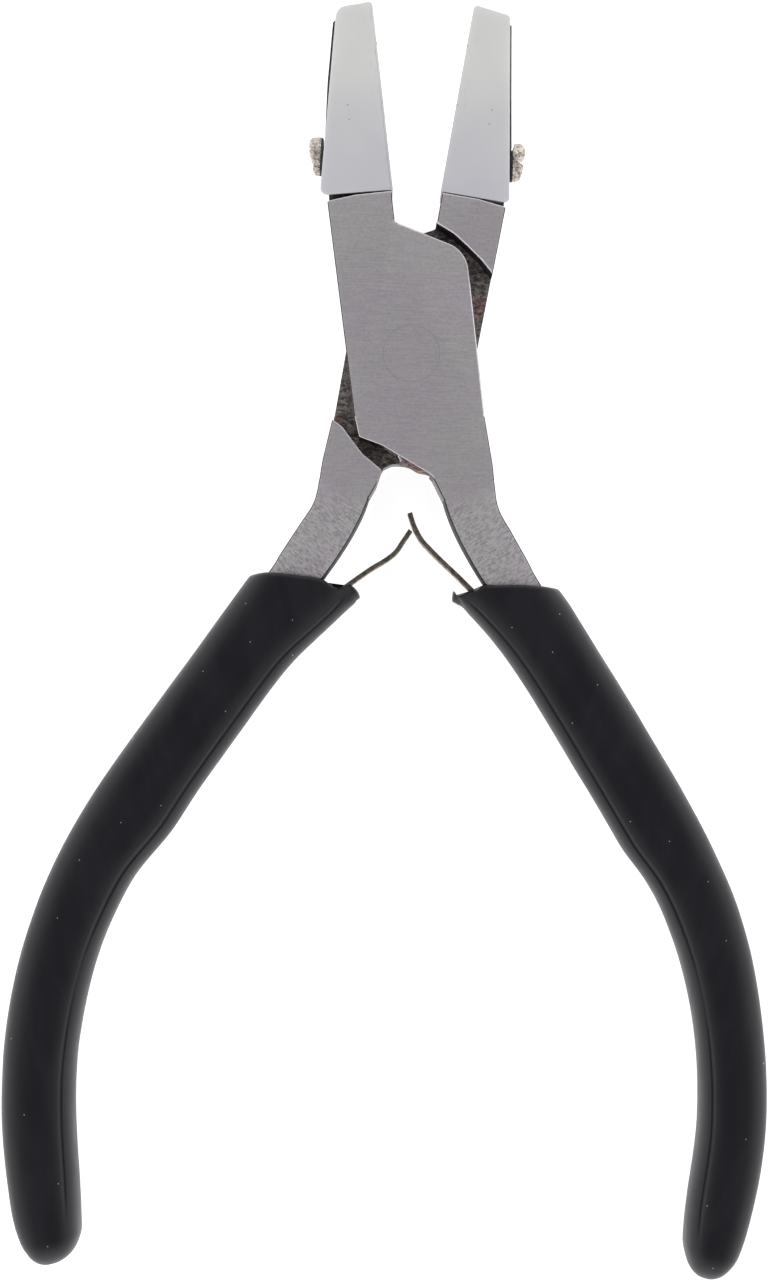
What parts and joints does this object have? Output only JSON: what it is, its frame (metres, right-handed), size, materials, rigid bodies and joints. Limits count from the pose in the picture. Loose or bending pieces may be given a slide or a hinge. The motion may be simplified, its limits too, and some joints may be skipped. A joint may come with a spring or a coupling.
{
  "type": "nylon-jaw flat-nose pliers",
  "caption": "Spring-opening jewellery pliers with flat nylon jaws, a riveted lap joint, crossed leaf springs and dipped vinyl grips on curved handles.",
  "frame": {"origin": "centre of the main rivet at the back face that the tool lies on", "axes": "+Y along the tool from the rivet to the jaws, +Z out of the front face along the rivet's axis, +X to the right as seen from the front"},
  "size_m": [0.0836, 0.1383, 0.009],
  "materials": {
    "forged_steel": "satin ground, with dark forging scale in the lap recesses",
    "nylon": "smooth satin natural nylon",
    "screw_nickel": "worn nickel plate",
    "spring_steel": "dark tempered strip",
    "rivet_steel": "ground flush with the plates",
    "vinyl": "satin dipped vinyl"
  },
  "bodies": {
    "front_half": {"front_half": "forged_steel", "pivot_rivet": "rivet_steel", "left_nylon_jaw": "nylon", "left_jaw_screw": "screw_nickel", "right_spring_root": "spring_steel", "right_spring_rivet": "rivet_steel", "right_grip": "vinyl"},
    "back_half": {"back_half": "forged_steel", "right_nylon_jaw": "nylon", "right_jaw_screw": "screw_nickel", "left_spring_root": "spring_steel", "left_spring_rivet": "rivet_steel", "left_grip": "vinyl"},
    "left_leaf": {"left_spring_leaf": "spring_steel"},
    "right_leaf": {"right_spring_leaf": "spring_steel"}
  },
  "joints": [
    {"name": "pivot", "type": "hinge", "parent": "front_half", "child": "back_half", "pos_m": [0, 0, 0.0045], "axis": [0, 0, 1], "range_deg": [0, 16.3], "stiffness_Nm_per_rad": 2},
    {"name": "left_leaf_flex", "type": "hinge", "parent": "back_half", "child": "left_leaf", "pos_m": [-0.00628, -0.02535, 0.0045], "axis": [0, 0, 1], "range_deg": [0, 22.9]},
    {"name": "right_leaf_flex", "type": "hinge", "parent": "front_half", "child": "right_leaf", "pos_m": [0.00742, -0.02523, 0.0045], "axis": [0, 0, -1], "range_deg": [0, 18.8]}
  ],
  "couplings": [
    {"joint": "left_leaf_flex", "follows": "pivot", "ratio": 1.4},
    {"joint": "right_leaf_flex", "follows": "pivot", "ratio": 1.15}
  ]
}
